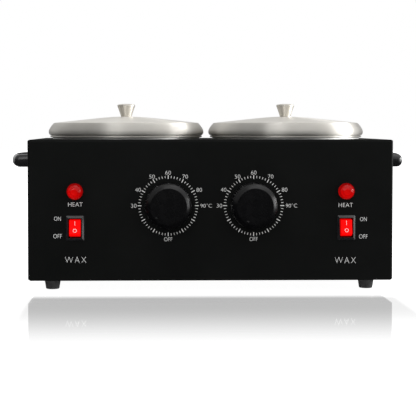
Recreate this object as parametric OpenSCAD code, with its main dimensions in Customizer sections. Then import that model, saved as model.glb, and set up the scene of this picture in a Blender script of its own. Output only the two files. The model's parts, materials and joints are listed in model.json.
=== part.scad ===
/* [Case] */
// Width of the case, without the handles
case_w = 308; // [304:1:330]
// Depth of the case, without the knobs
case_d = 170; // [168:1:190]
// Height of the case walls
case_h = 118.7; // [116:0.1:130]
// Thickness of the sheet steel
sheet = 1; // [0.8:0.1:1.2]
// Outer radius of the bent edges
bend_r = 2; // [1.5:0.1:3]

/* [Feet] */
// Height of a foot, which is the gap under the case
foot_h = 9; // [7:0.5:14]
// Radius of a foot where it meets the base
foot_top_r = 6.7; // [6.5:0.1:9]
// Radius of a foot where it stands
foot_low_r = 5.5; // [5.4:0.1:7]
// Distance from the middle of the case to a foot
foot_x = 134.7; // [125:0.1:136]
// Distance from the front or rear wall to a foot
foot_inset = 20; // [16:1:30]

/* [Pots] */
// Distance from the middle of the case to a pot's axis
pot_x = 72.85; // [71.5:0.05:78]
// Distance from the front wall to the pots' axes
pot_inset = 92; // [90:0.5:96]
// Inner radius of a pot
pot_r = 58; // [50:0.5:58]
// Wall of a pot
pot_wall = 1.2; // [0.8:0.1:1.2]
// Inner depth of a pot
pot_depth = 80; // [60:1:82]
// Radius to the outside of a pot's rolled rim
rim_r = 69.2; // [68:0.1:70]
// Inner radius of a fixed well
well_r = 60.2; // [60.2:0.1:60.6]

/* [Lids] */
// Outer radius of a lid
lid_r = 70.6; // [69:0.1:72]
// Height of a lid, from its rolled edge to its middle
lid_h = 16.7; // [12:0.1:22]
// Radius of a lid's rolled edge
lid_roll = 2.4; // [1.6:0.1:3]
// Thickness of a lid
lid_t = 1; // [0.8:0.1:1.5]
// Height of a lid's knob
lid_knob_h = 11.8; // [10:0.1:20]
// Radius of the top of a lid's knob
lid_knob_r = 8.05; // [7:0.05:12]
// Radius of the neck of a lid's knob
lid_neck_r = 4.8; // [4:0.1:6]

/* [Controls] */
// Distance from the middle of the case to a dial
dial_x = 36; // [33:0.5:44]
// Height of the dials above the underside of the feet
dial_z = 72.2; // [66:0.1:80]
// Radius of a dial knob at its foot
knob_r = 19.8; // [19.8:0.1:21]
// Radius of a dial knob at its face
knob_face_r = 15.4; // [15:0.1:18]
// Distance a dial knob stands out from the front wall
knob_out = 17; // [16:0.5:20]
// Direction of the left pointer, in degrees clockwise from the top
left_pointer = 227; // [180:1:450]
// Direction of the right pointer, in degrees clockwise from the top
right_pointer = 206; // [180:1:450]
// Distance from the middle of the case to a lamp or a switch
side_x = 114.3; // [108:0.1:120]
// Height of the lamps
lamp_z = 84.3; // [80:0.1:90]
// Radius of a lamp's lens
lens_r = 7; // [6.5:0.1:7.5]
// Distance a lens stands out from the front wall
lens_out = 7.5; // [6:0.1:9]
// Height of the switches
switch_z = 53.5; // [45:0.1:58]
// Width of a switch's frame
frame_w = 15.2; // [15:0.1:16]
// Height of a switch's frame
frame_h = 20.8; // [20.6:0.1:22]
// Angle that a rocker turns between its two stops
rocker_travel = 22; // [18:1:24]

/* [Handles] */
// Height of the middle of a handle
handle_z = 109.4; // [100:0.1:112]
// Height of a handle's section
handle_h = 11.5; // [9:0.1:14]
// Distance a handle stands out at its middle
handle_out = 20; // [18:0.5:26]
// Distance a handle stands out at its two ends
handle_end_out = 13.5; // [12:0.5:16]
// Length of a handle, along the side wall
handle_len = 100; // [90:1:110]
// Thickness of a handle's grip
grip_t = 6.5; // [5:0.1:8]

/* [Cord] */
// Diameter of the power cord
cord_d = 7; // [6.5:0.1:7]
// Distance from the middle of the case to the cord's exit
exit_x = 90; // [90:1:90]
// Height of the cord's exit
exit_z = 28; // [28:1:28]

/* [Hidden] */
$fn = 64;
LEFT = -1;
RIGHT = 1;
eps = 0.01;

// The knobs stand out in front and the screws behind, and the origin is under their middle.
screw_head_h = 1.6;
front_y = -case_d / 2 + (knob_out - screw_head_h) / 2;
rear_y = front_y + case_d;
pot_y = front_y + pot_inset;
top_z = foot_h + case_h;
base_gap = 0.2;
rest_gap = 0.2;
// How far the lower corners of the front and rear walls are cut off, sideways and upwards
corner_w = 2.1;
corner_h = 1.3;

// The well hangs from the top, the pot stands on the well's flange, and the lid on the pot's rim.
well_wall = 1;
well_flange_t = 1.1;
well_flange_r = 67;
pot_flange_z = top_z + well_flange_t + rest_gap;
rim_bead = 0.9;
rim_top_z = pot_flange_z + 2 * rim_bead;
pot_floor_z = pot_flange_z + pot_wall - pot_depth;
well_floor_z = pot_floor_z - pot_wall - 1;
lid_low_z = rim_top_z + rest_gap;
lid_top_z = lid_low_z + lid_h;
lid_slope = 0.112;
lid_crown = 1.2;
lid_flat_r = 6;
// A lid's face meets its sloping skirt in a crease, and the skirt bulges a little.
lid_skirt_w = 5;
lid_bulge = 0.5;
lid_screw_r = 2;

heater_t = 2;
insulation_t = 5;
bulb_r = 3;
bulb_len = 70;

// Screws and their holes
small_r = 1.5;
small_head_r = 2.8;
hole_play = 0.1;
side_screw_y = [-60, 60];
rear_screw_x = [-110, 0];
side_screw_z = foot_h + 7;
flange_up = 10.5;
foot_y = [front_y + foot_inset, rear_y - foot_inset];
handle_screw_r = 2;
handle_foot_len = 14;
handle_y = pot_y - 12;
handle_screw_y = [for (s = [-1, 1]) handle_y + s * (handle_len / 2 - 8)];
// The outer face of a handle is an arc through its middle and its two ends.
handle_rise = handle_out - handle_end_out;
handle_arc_r = (pow(handle_len / 2, 2) + pow(handle_rise, 2)) / (2 * handle_rise);
thermostat_screw_x = 14;

bushing_r = 5;
spindle_r = 3;
spindle_play = 0.06;
lamp_body_r = 4.9;
lamp_nut_r = 7.5;
switch_w = 13;
switch_h = 19.2;
switch_depth = 17;
lip = 2;
rocker_w = 10.8;
rocker_r = 7.8;
rocker_pivot = 2;
rocker_pin_r = 1.2;

// The cord's route behind the case, from the exit to the coil and from the coil to the plug
cord_r = cord_d / 2;
tie_t = 0.6;
coil_x = 20;
coil_y = 160;
coil_rows_r = [35, 42];
floor_z = cord_r + tie_t;
lead_points = [
    [90, 88, 28], [90, 100, 28], [90, 112, 28], [90, 124, 28], [90, 136, 26], [89.5, 147, 21.5],
    [88, 157, 15.5], [85, 167, 9.5], [80, 177, 5.5], [72, 186, 4.1], [61.5, 193.5, 4.1], [50, 199, 4.1],
    [40, 201.5, 4.1]
];
tail_points = [
    [10, 198.5, 17.2], [0, 199, 17.1], [-10, 199.5, 16.6], [-20, 200, 15.6], [-30, 200, 14.2],
    [-38, 200, 12.8], [-48, 200, 12.2], [-60, 200, 12.2]
];
plug_x = -48;
plug_y = 200;
plug_z = 12.2;
relief_len = 30;

// ---- helpers ----

function unit(v) = v / norm(v);

function tangents(p) = [
    for (i = [0 : len(p) - 1]) unit(p[min(i + 1, len(p) - 1)] - p[max(i - 1, 0)])
];

// One sideways direction for each point of a route, turned as little as possible from the last
function sideways(t, first) = [
    for (i = 0, u = unit(first - (first * t[0]) * t[0]);
         i < len(t);
         i = i + 1, u = unit(u - (u * t[min(i, len(t) - 1)]) * t[min(i, len(t) - 1)])) u
];

// A closed tube that follows a route
module tube(p, r, sides, first = [0, 0, 1]) {
    t = tangents(p);
    u = sideways(t, first);
    last = len(p) - 1;
    rings = [
        for (i = [0 : last], k = [0 : sides - 1])
            let (a = 360 * k / sides) p[i] + r * (cos(a) * u[i] + sin(a) * cross(t[i], u[i]))
    ];
    walls = [
        for (i = [0 : last - 1], k = [0 : sides - 1])
            let (n = (k + 1) % sides)
                [i * sides + k, i * sides + n, (i + 1) * sides + n, (i + 1) * sides + k]
    ];
    ends = [
        [for (k = [sides - 1 : -1 : 0]) k],
        [for (k = [0 : sides - 1]) last * sides + k]
    ];
    polyhedron(points = rings, faces = [for (f = concat(walls, ends)) [for (k = [len(f) - 1 : -1 : 0]) f[k]]]);
}

module rounded_rect(w, h, r) {
    square([w - 2 * r, h], center = true);
    square([w, h - 2 * r], center = true);
    for (x = [-1, 1], y = [-1, 1]) translate([x * (w / 2 - r), y * (h / 2 - r)]) circle(r);
}

// A box that is open-ended below, with its upright and upper edges rounded
module bent_box(w, d, h, r) {
    intersection() {
        linear_extrude(h) rounded_rect(w, d, r);
        rotate([90, 0, 0]) linear_extrude(d, center = true) rounded_rect(w, 2 * h, r);
        rotate([90, 0, 90]) linear_extrude(w, center = true) rounded_rect(d, 2 * h, r);
    }
}

// Places a child on the front wall: its own Z points out of the wall, and its Y points up
module on_front(x, z) { translate([x, front_y, z]) rotate([90, 0, 0]) children(); }

// Places a child on a side wall: its own Z points out of the wall, and its Y points up
module on_side(side, y, z) {
    translate([side * case_w / 2, y, z]) rotate([90, 0, side * 90]) children();
}

// Places a child on the rear wall: its own Z points out of the wall, and its Y points up
module on_rear(x, z) { translate([x, rear_y, z]) rotate([90, 0, 180]) children(); }

module at_pot(side) { translate([side * pot_x, pot_y, 0]) children(); }

// A pan-head screw that points down, with its head above Z 0
module pan_screw(r, head_r, head_h, long) {
    translate([0, 0, -long]) cylinder(h = long, r = r);
    difference() {
        intersection() {
            cylinder(h = head_h, r = head_r);
            translate([0, 0, head_h - 2.2 * head_r]) sphere(2.2 * head_r);
        }
        for (a = [0, 90]) rotate(a) translate([-head_r * 0.55, -0.35, head_h - 0.7])
            cube([head_r * 1.1, 0.7, 2]);
    }
}

// A hexagonal nut that stands on Z 0
module hex_nut(across, bore_r, high) {
    difference() {
        cylinder(h = high, r = across / sqrt(3), $fn = 6);
        translate([0, 0, -1]) cylinder(h = high + 2, r = bore_r);
    }
}

// ---- case ----

module case_shell() {
    color([0.05, 0.055, 0.05]) difference() {
        translate([0, front_y + case_d / 2, foot_h]) difference() {
            bent_box(case_w, case_d, case_h, bend_r);
            translate([0, 0, -eps])
                bent_box(case_w - 2 * sheet, case_d - 2 * sheet, case_h - sheet + eps, bend_r - sheet);
        }
        for (side = [LEFT, RIGHT]) {
            at_pot(side) translate([0, 0, top_z - 5]) cylinder(h = 10, r = well_r + well_wall + 0.2);
            on_front(side * dial_x, dial_z) translate([0, 0, -5]) {
                cylinder(h = 10, r = bushing_r + 0.2);
                for (x = [-1, 1]) translate([x * thermostat_screw_x, 0, 0])
                    cylinder(h = 10, r = small_r + hole_play);
            }
            on_front(side * side_x, lamp_z) translate([0, 0, -5])
                cylinder(h = 10, r = lamp_body_r + 0.2);
            on_front(side * side_x, switch_z)
                cube([switch_w + 0.4, switch_h + 0.4, 10], center = true);
            for (y = handle_screw_y) on_side(side, y, handle_z) translate([0, 0, -5])
                cylinder(h = 10, r = handle_screw_r + hole_play);
            for (y = side_screw_y) on_side(side, y, side_screw_z) translate([0, 0, -5])
                cylinder(h = 10, r = small_r + hole_play);
            mirror([side < 0 ? 1 : 0, 0, 0]) translate([case_w / 2, 0, foot_h]) rotate([90, 0, 0])
                linear_extrude(3 * case_d, center = true) polygon([
                    [-1.1 * corner_w, -0.1 * corner_h], [0.1 * corner_w, 1.1 * corner_h],
                    [corner_w, 1.1 * corner_h], [corner_w, -0.1 * corner_h]
                ]);
        }
        for (x = rear_screw_x) on_rear(x, side_screw_z) translate([0, 0, -5])
            cylinder(h = 10, r = small_r + hole_play);
        on_rear(exit_x, exit_z) translate([0, 0, -5]) cylinder(h = 10, r = 6.4);
    }
}

module base_plate() {
    inner_w = case_w - 2 * sheet - 2 * base_gap;
    inner_d = case_d - 2 * sheet - 2 * base_gap;
    color([0.55, 0.56, 0.56]) difference() {
        translate([0, front_y + case_d / 2, foot_h + flange_up]) mirror([0, 0, 1]) difference() {
            bent_box(inner_w, inner_d, flange_up, 1.4);
            translate([0, 0, -eps])
                bent_box(inner_w - 2 * sheet, inner_d - 2 * sheet, flange_up - sheet + eps, 0.4);
        }
        for (x = [-foot_x, foot_x], y = foot_y) translate([x, y, foot_h - 1])
            cylinder(h = 4, r = small_r + hole_play);
        for (side = [LEFT, RIGHT], y = side_screw_y) on_side(side, y, side_screw_z)
            translate([0, 0, -5]) cylinder(h = 8, r = small_r + hole_play);
        for (x = rear_screw_x) on_rear(x, side_screw_z) translate([0, 0, -5])
            cylinder(h = 8, r = small_r + hole_play);
        for (side = [LEFT, RIGHT], k = [-3 : 3]) at_pot(side)
            translate([k * 12 - 2, -25, foot_h - 1]) cube([4, 50, 4]);
        for (x = [exit_x - 30, exit_x - 52]) translate([x, rear_y - 32, foot_h - 1])
            cylinder(h = 4, r = small_r + hole_play);
        translate([exit_x - 66, rear_y - 32, foot_h - 1]) cylinder(h = 4, r = 2 + hole_play);
    }
}

module case_screws() {
    color([0.1, 0.1, 0.1]) {
        for (side = [LEFT, RIGHT], y = side_screw_y)
            on_side(side, y, side_screw_z) pan_screw(small_r, small_head_r, screw_head_h, 6);
        for (x = rear_screw_x)
            on_rear(x, side_screw_z) pan_screw(small_r, small_head_r, screw_head_h, 6);
    }
}

module foot() {
    rotate_extrude() polygon([
        [small_r + hole_play, 3.5], [3.6, 3.5], [3.6, 0], [foot_low_r - 0.6, 0], [foot_low_r, 0.6],
        [foot_top_r, foot_h - 0.6], [foot_top_r - 0.4, foot_h], [small_r + hole_play, foot_h]
    ]);
}

module feet() {
    color([0.04, 0.04, 0.04]) for (x = [-foot_x, foot_x], y = foot_y) translate([x, y, 0]) foot();
}

module foot_screws() {
    color([0.7, 0.7, 0.7]) for (x = [-foot_x, foot_x], y = foot_y)
        translate([x, y, 3.5]) mirror([0, 0, 1]) pan_screw(small_r, small_head_r, screw_head_h, 10);
}

module foot_nuts() {
    color([0.75, 0.75, 0.72]) for (x = [-foot_x, foot_x], y = foot_y)
        translate([x, y, foot_h + sheet]) hex_nut(5.5, small_r + 0.05, 2.4);
}

// ---- handles ----

// How far a handle's outer face stands out, at a distance from its middle
function bow(v) = handle_out - handle_arc_r + sqrt(pow(handle_arc_r, 2) - pow(v, 2));

module handle_plan() {
    half = handle_len / 2;
    inner = half - handle_foot_len;
    steps = 12;
    round_r = 5;
    end_x = bow(half - round_r);
    outer = [for (i = [-steps : steps]) let (v = i / steps * (half - round_r)) [bow(v) + 0.4, v]];
    corner = [for (a = [15 : 15 : 90]) [end_x - round_r + round_r * cos(a), half - round_r + round_r * sin(a)]];
    hollow = [for (i = [-steps : steps]) let (v = i / steps * inner) [bow(v) - grip_t, v]];
    difference() {
        polygon(concat(
            outer, corner, [[0, half], [0, -half]],
            [for (k = [len(corner) - 1 : -1 : 0]) [corner[k][0], -corner[k][1]]]
        ));
        polygon(concat(hollow, [[-1, inner], [-1, -inner]]));
    }
}

// A bow handle that stands on its own Y-Z plane and reaches along +X
module handle() {
    edge = 0.4 * handle_h;
    deep = handle_out + 10;
    difference() {
        intersection() {
            linear_extrude(handle_h, center = true) handle_plan();
            translate([handle_out - handle_arc_r, 0, 0]) rotate([0, 0, -30])
                rotate_extrude(angle = 60, $fn = 360) translate([handle_arc_r - deep / 2, 0])
                    rounded_rect(deep, handle_h, edge);
        }
        for (y = [-1, 1]) translate([-1, y * (handle_len / 2 - 8), 0]) rotate([0, 90, 0])
            cylinder(h = 10, r = handle_screw_r);
    }
}

module placed_handle(side) {
    color([0.06, 0.06, 0.06]) translate([side * case_w / 2, handle_y, handle_z])
        mirror([side < 0 ? 1 : 0, 0, 0]) handle();
}

module left_handle() { placed_handle(LEFT); }
module right_handle() { placed_handle(RIGHT); }

module handle_screws() {
    color([0.7, 0.7, 0.7]) for (side = [LEFT, RIGHT], y = handle_screw_y)
        on_side(side, y, handle_z) translate([0, 0, -sheet]) mirror([0, 0, 1])
            pan_screw(handle_screw_r - 0.05, 3.6, 2, sheet + 8);
}

// ---- wells, pots and lids ----

// A flanged cup about its own axis
module cup(r, wall, floor_z, flange_z, flange_t, flange_r) {
    rotate_extrude($fn = 96) polygon([
        [0, floor_z - wall], [r + wall - 3, floor_z - wall], [r + wall - 1, floor_z - wall + 1],
        [r + wall, floor_z - wall + 3], [r + wall, flange_z], [flange_r, flange_z],
        [flange_r, flange_z + flange_t], [r, flange_z + flange_t], [r, floor_z + 2],
        [r - 0.6, floor_z + 0.6], [r - 2, floor_z], [0, floor_z]
    ]);
}

module well(side) {
    color([0.6, 0.6, 0.6]) at_pot(side)
        cup(well_r, well_wall, well_floor_z, top_z, well_flange_t, well_flange_r);
}

module left_well() { well(LEFT); }
module right_well() { well(RIGHT); }

module heater_band(side) {
    color([0.72, 0.66, 0.5]) at_pot(side) rotate(95)
        rotate_extrude(angle = 350, $fn = 96) translate([well_r + well_wall, 50]) square([heater_t, 46]);
}

module left_heater_band() { heater_band(LEFT); }
module right_heater_band() { heater_band(RIGHT); }

module insulation(side) {
    color([0.9, 0.88, 0.8]) at_pot(side) rotate_extrude($fn = 96)
        translate([well_r + well_wall + heater_t + 0.2, 50]) square([insulation_t, 62]);
}

module left_insulation() { insulation(LEFT); }
module right_insulation() { insulation(RIGHT); }

module pot(side) {
    color([0.8, 0.8, 0.79]) at_pot(side) {
        cup(pot_r, pot_wall, pot_floor_z, pot_flange_z, pot_wall, rim_r - rim_bead);
        rotate_extrude($fn = 96) translate([rim_r - rim_bead, pot_flange_z + rim_bead]) circle(rim_bead);
    }
}

module left_pot() { pot(LEFT); }
module right_pot() { pot(RIGHT); }

// Height of a lid's upper face above its lowest point, at a distance from its axis
function dome(r) =
    lid_h + lid_crown - sqrt(pow(lid_crown, 2) + pow(lid_slope * max(r - lid_flat_r, 0), 2));

// The outline of a lid's face from the middle to the rolled edge, moved in by a thickness
function lid_face(t) =
    let (
        crease = [lid_r - lid_skirt_w, dome(lid_r - lid_skirt_w)],
        fall = [lid_r, lid_roll + 1.6] - crease,
        out = unit([-fall[1], fall[0]])
    ) concat(
        [for (r = [lid_flat_r : 7 : crease[0] - 1.5]) [r, dome(r) - t]],
        [for (k = [0 : 6]) let (f = max(k / 6, 0.05 * t))
            crease + f * fall + (4 * lid_bulge * f * (1 - f) - t) * out],
        [[lid_r - t, lid_roll]]
    );

module lid(side) {
    outer = lid_face(0);
    inner = lid_face(lid_t);
    color([0.78, 0.77, 0.75]) at_pot(side) translate([0, 0, lid_low_z]) {
        rotate_extrude($fn = 96) polygon(concat(
            [[lid_screw_r + hole_play, dome(0)]], outer,
            [for (k = [len(inner) - 1 : -1 : 0]) inner[k]], [[lid_screw_r + hole_play, dome(0) - lid_t]]
        ));
        rotate_extrude($fn = 96) translate([lid_r - lid_roll, lid_roll]) circle(lid_roll);
    }
}

module left_lid() { lid(LEFT); }
module right_lid() { lid(RIGHT); }

module lid_knob(side) {
    bore = lid_screw_r + 0.05;
    h = lid_knob_h;
    color([0.85, 0.84, 0.82]) at_pot(side) translate([0, 0, lid_top_z]) rotate_extrude() polygon(concat(
        [[bore, 0], [lid_neck_r, 0], [lid_neck_r + 0.1, 0.5]],
        [[lid_knob_r, h - 2], [lid_knob_r, h - 1.3], [lid_knob_r - 0.5, h - 0.6], [lid_knob_r - 2, h - 0.2]],
        [[0, h], [0, 7], [bore, 7]]
    ));
}

module left_lid_knob() { lid_knob(LEFT); }
module right_lid_knob() { lid_knob(RIGHT); }

module lid_screw(side) {
    color([0.7, 0.7, 0.7]) at_pot(side) translate([0, 0, lid_top_z - lid_t]) mirror([0, 0, 1])
        pan_screw(lid_screw_r, 3.8, 2, lid_t + 6.5);
}

module left_lid_screw() { lid_screw(LEFT); }
module right_lid_screw() { lid_screw(RIGHT); }

// ---- dials ----

module thermostat(side) {
    body_w = 32;
    body_h = 34;
    back = 22.2;
    color([0.75, 0.73, 0.66]) on_front(side * dial_x, dial_z) difference() {
        union() {
            translate([-body_w / 2 - 1.5, -11, -sheet - 1.2]) cube([body_w + 3, 22, 1.2]);
            translate([-body_w / 2 + 1, -body_h / 2, -back]) cube([body_w - 2, body_h, back - sheet - 1.2]);
            for (x = [-9, 9]) translate([x - 3.2, -body_h / 2 - 7, -back + 5]) cube([6.4, 7, 0.8]);
            translate([0, 0, -sheet - 2]) cylinder(h = sheet + 6, r = bushing_r);
        }
        translate([0, 0, -9]) cylinder(h = 20, r = spindle_r + spindle_play);
        for (x = [-1, 1]) translate([x * thermostat_screw_x, 0, -8]) cylinder(h = 20, r = small_r + 0.05);
    }
}

module left_thermostat() { thermostat(LEFT); }
module right_thermostat() { thermostat(RIGHT); }

module thermostat_screws() {
    color([0.7, 0.7, 0.7]) for (side = [LEFT, RIGHT], x = [-1, 1])
        on_front(side * dial_x, dial_z) translate([x * thermostat_screw_x, 0, 0])
            pan_screw(small_r, small_head_r, 1.5, 7);
}

module sensor_bulb(side) {
    from = [-48, front_y + 11, dial_z - 17];
    route = [
        from, from + [0, 0, -6], [-50, front_y + 13, 42], [-56, front_y + 20, 34], [-64, front_y + 32, 33],
        [-70, front_y + 43, 37], [-pot_x, front_y + 52, 42.5], [-pot_x, front_y + 58, 42.5]
    ];
    color([0.75, 0.5, 0.3]) mirror([side > 0 ? 1 : 0, 0, 0]) {
        translate([-pot_x, front_y + 58, 42.5]) rotate([-90, 0, 0]) cylinder(h = bulb_len, r = bulb_r);
        tube(route, 0.8, 8, [1, 0, 0]);
    }
}

module left_sensor_bulb() { sensor_bulb(LEFT); }
module right_sensor_bulb() { sensor_bulb(RIGHT); }

// A hollow knob with a pointer dimple, turned to its pointer's direction
module dial_knob(side, pointer) {
    wall = 2;
    skirt = 0.8;
    hub_r = 5;
    shoulder_r = knob_r - 1;
    shoulder_z = knob_out - 3;
    color([0.03, 0.03, 0.035]) on_front(side * dial_x, dial_z) rotate(-pointer) difference() {
        rotate_extrude($fn = 96) polygon([
            [spindle_r + 0.03, 6], [hub_r, 6], [hub_r, knob_out - wall], [knob_face_r - 0.8, knob_out - wall],
            [shoulder_r - wall, shoulder_z - 0.8], [knob_r - wall, skirt], [knob_r, skirt], [knob_r, 3],
            [shoulder_r, shoulder_z], [knob_face_r, knob_out], [0, knob_out], [0, 14.2], [spindle_r + 0.03, 14.2]
        ]);
        translate([0, 14, knob_out - 0.5]) cylinder(h = 2, r = 0.8);
    }
}

module left_dial_knob() { dial_knob(LEFT, left_pointer); }
module right_dial_knob() { dial_knob(RIGHT, right_pointer); }

module spindle(side, pointer) {
    color([0.8, 0.75, 0.6]) on_front(side * dial_x, dial_z) rotate(-pointer) difference() {
        translate([0, 0, -8.8]) cylinder(h = 22.8, r = spindle_r);
        translate([-5, -spindle_r - 3.5, 6]) cube([10, 5, 12]);
    }
}

module left_spindle() { spindle(LEFT, left_pointer); }
module right_spindle() { spindle(RIGHT, right_pointer); }

// ---- lamps ----

module lamp_lens(side) {
    color([0.75, 0.02, 0.02]) on_front(side * side_x, lamp_z) difference() {
        rotate_extrude() polygon(concat(
            [[0, 0], [lens_r, 0], [lens_r, 2.4]],
            [for (a = [15 : 15 : 75]) [4.2 + (lens_r - 4.2) * cos(a), 2.4 + (lens_out - 2.8) * sin(a)]],
            [[3.6, lens_out - 0.1], [0, lens_out]]
        ));
        translate([0, 0, -1]) cylinder(h = 5, r = 3.6);
    }
}

module left_lamp_lens() { lamp_lens(LEFT); }
module right_lamp_lens() { lamp_lens(RIGHT); }

module lamp_body(side) {
    color([0.85, 0.85, 0.82]) on_front(side * side_x, lamp_z) {
        translate([0, 0, -20]) cylinder(h = 20, r = lamp_body_r);
        cylinder(h = 3.6, r = 2.4);
        for (x = [-2.2, 2.2]) translate([x - 0.4, -1.4, -27]) cube([0.8, 2.8, 7.5]);
    }
}

module left_lamp_body() { lamp_body(LEFT); }
module right_lamp_body() { lamp_body(RIGHT); }

module lamp_nuts() {
    color([0.8, 0.8, 0.76]) for (side = [LEFT, RIGHT]) on_front(side * side_x, lamp_z)
        translate([0, 0, -sheet - 3]) hex_nut(13, lamp_body_r + 0.05, 3);
}

// ---- switches ----

// The section of a switch's frame: upright at its outer edge, then sloping up to its mouth
module frame_slope(outer, mouth) {
    polygon([
        [-outer / 2, 0], [outer / 2, 0], [outer / 2, 0.6], [mouth / 2 + 0.3, lip], [-mouth / 2 - 0.3, lip],
        [-outer / 2, 0.6]
    ]);
}

module switch_housing(side) {
    mouth_h = 16.4;
    mouth_w = 11.3;
    room_h = 17.6;
    color([0.1, 0.1, 0.1]) on_front(side * side_x, switch_z) difference() {
        union() {
            intersection() {
                linear_extrude(lip) rounded_rect(frame_w, frame_h, 0.8);
                rotate([90, 0, 0]) linear_extrude(frame_h + 2, center = true) frame_slope(frame_w, mouth_w);
                rotate([90, 0, 90]) linear_extrude(frame_w + 2, center = true) frame_slope(frame_h, mouth_h);
            }
            translate([-switch_w / 2, -switch_h / 2, -switch_depth])
                cube([switch_w, switch_h, switch_depth + 1]);
        }
        translate([-mouth_w / 2, -mouth_h / 2, 1]) cube([mouth_w, mouth_h, 5]);
        translate([-mouth_w / 2, -room_h / 2, -13]) cube([mouth_w, room_h, 14 + eps]);
        translate([0, 0, -rocker_pivot]) rotate([0, 90, 0])
            cylinder(h = switch_w + 2, r = rocker_pin_r + 0.06, center = true);
    }
}

module left_switch_housing() { switch_housing(LEFT); }
module right_switch_housing() { switch_housing(RIGHT); }

module switch_terminals() {
    color([0.85, 0.8, 0.55]) for (side = [LEFT, RIGHT], y = [-5, 2])
        on_front(side * side_x, switch_z) translate([-3.1, y - 0.4, -switch_depth - 7])
            difference() {
                cube([6.2, 0.8, 7]);
                translate([3.1, -1, 3]) rotate([-90, 0, 0]) cylinder(h = 3, r = 0.9);
            }
}

// A rocker with two faces that meet in a shallow V, turned so that its upper half is pressed in
module rocker(side) {
    face_end = 5.5;
    face_mid = 4.3;
    color([0.85, 0.02, 0.02]) on_front(side * side_x, switch_z) translate([0, 0, -rocker_pivot])
        rotate([-rocker_travel / 2, 0, 0]) rotate([0, -90, 0]) {
            linear_extrude(rocker_w, center = true) difference() {
                circle(rocker_r, $fn = 96);
                polygon([[face_end, -9], [face_mid, 0], [face_end, 9], [20, 9], [20, -9]]);
                translate([-19, -10]) square([18, 20]);
            }
            cylinder(h = switch_w - 0.4, r = rocker_pin_r, center = true);
            linear_extrude(3, center = true) polygon([[-0.9, -2], [-0.9, 2], [-7, 1], [-7, -1]]);
        }
}

module left_rocker() { rocker(LEFT); }
module right_rocker() { rocker(RIGHT); }

// ---- inside wiring ----

block_y = rear_y - 32;

module terminal_block() {
    color([0.9, 0.9, 0.86]) difference() {
        translate([exit_x - 57, block_y - 9, foot_h + sheet]) cube([32, 18, 14]);
        for (x = [exit_x - 30, exit_x - 52]) translate([x, block_y, foot_h]) cylinder(h = 30, r = 1.55);
        for (k = [-1 : 1]) translate([exit_x - 41 + k * 7, block_y, foot_h + 14])
            cylinder(h = 30, r = 2.1);
    }
}

module terminal_screws() {
    color([0.85, 0.8, 0.55]) {
        for (x = [exit_x - 30, exit_x - 52]) translate([x, block_y, foot_h + sheet + 14])
            pan_screw(small_r, 2.2, 1.4, 16);
        for (k = [-1 : 1]) translate([exit_x - 41 + k * 7, block_y, foot_h + 14])
            cylinder(h = 3, r = 2);
    }
}

module earth_screw() {
    color([0.8, 0.75, 0.4]) translate([exit_x - 66, block_y, foot_h + sheet + 2]) {
        pan_screw(2, 3.8, 2.4, 6);
        translate([0, 0, -2]) hex_nut(7, 2.05, 2);
    }
}

// The live, switched and heater wires of one side
module wiring(side) {
    s = side_x;
    back = front_y + 24.3;
    heater_y = pot_y + 64;
    routes = [
        [[-s, back, switch_z - 5], [-s, back + 5, switch_z - 6], [-s + 5, back + 8, 38],
         [-100, front_y + 26, 26], [-80, front_y + 24, 22], [-60, front_y + 20, 26],
         [-45, front_y + 17.6, 40], [-45, front_y + 17.6, 47.5]],
        [[-27, front_y + 17.6, 47.5], [-27, front_y + 17.6, 40], [-22, front_y + 26, 28],
         [-14, front_y + 50, 20], [-6, pot_y, 18], [-10, pot_y + 40, 18], [-28, heater_y, 20],
         [-50, heater_y, 26], [-61, heater_y - 2, 35], [-63, heater_y - 2.5, 43], [-63, heater_y - 2.5, 49.9]],
        [[-s + 2.2, front_y + 27.3, lamp_z], [-s + 2.2, front_y + 30, lamp_z], [-s + 3, front_y + 31.5, lamp_z - 5],
         [-s - 8, front_y + 34, lamp_z - 16], [-s - 14, front_y + 32, 50], [-s - 6, front_y + 30, 26],
         [-s + 8, front_y + 29, 20], [-88, front_y + 32, 18]]
    ];
    color([0.7, 0.1, 0.1]) mirror([side > 0 ? 1 : 0, 0, 0])
        for (route = routes) tube(route, 0.9, 8, [1, 0, 0]);
}

module left_wiring() { wiring(LEFT); }
module right_wiring() { wiring(RIGHT); }

// ---- power cord ----

module strain_relief() {
    color([0.04, 0.04, 0.04]) on_rear(exit_x, exit_z) rotate_extrude() polygon([
        [cord_r + 0.1, -5], [7.6, -5], [8, -sheet - 0.1], [6.2, -sheet - 0.1], [6.2, 0], [9.2, 0],
        [9.2, 1.6], [8.6, 2.2], [6.4, 2.6], [6.2, 6], [4.9, relief_len], [cord_r + 0.1, relief_len]
    ]);
}

module power_cord() { color([0.05, 0.05, 0.05]) tube(lead_points, cord_r, 12); }
module cord_tail() { color([0.05, 0.05, 0.05]) tube(tail_points, cord_r, 12); }

module cord_coil() {
    low_r = coil_rows_r[0] - cord_r;
    high_r = coil_rows_r[1] + cord_r;
    color([0.05, 0.05, 0.05]) translate([coil_x, coil_y, tie_t]) rotate_extrude($fn = 96) polygon([
        [low_r, 1], [low_r + 1, 0], [high_r - 1, 0], [high_r, 1], [high_r, 2 * cord_d - 1],
        [(low_r + high_r) / 2 + cord_r, 2.8 * cord_d], [(low_r + high_r) / 2 - cord_r, 2.8 * cord_d],
        [low_r, 2 * cord_d - 1]
    ]);
}

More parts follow.
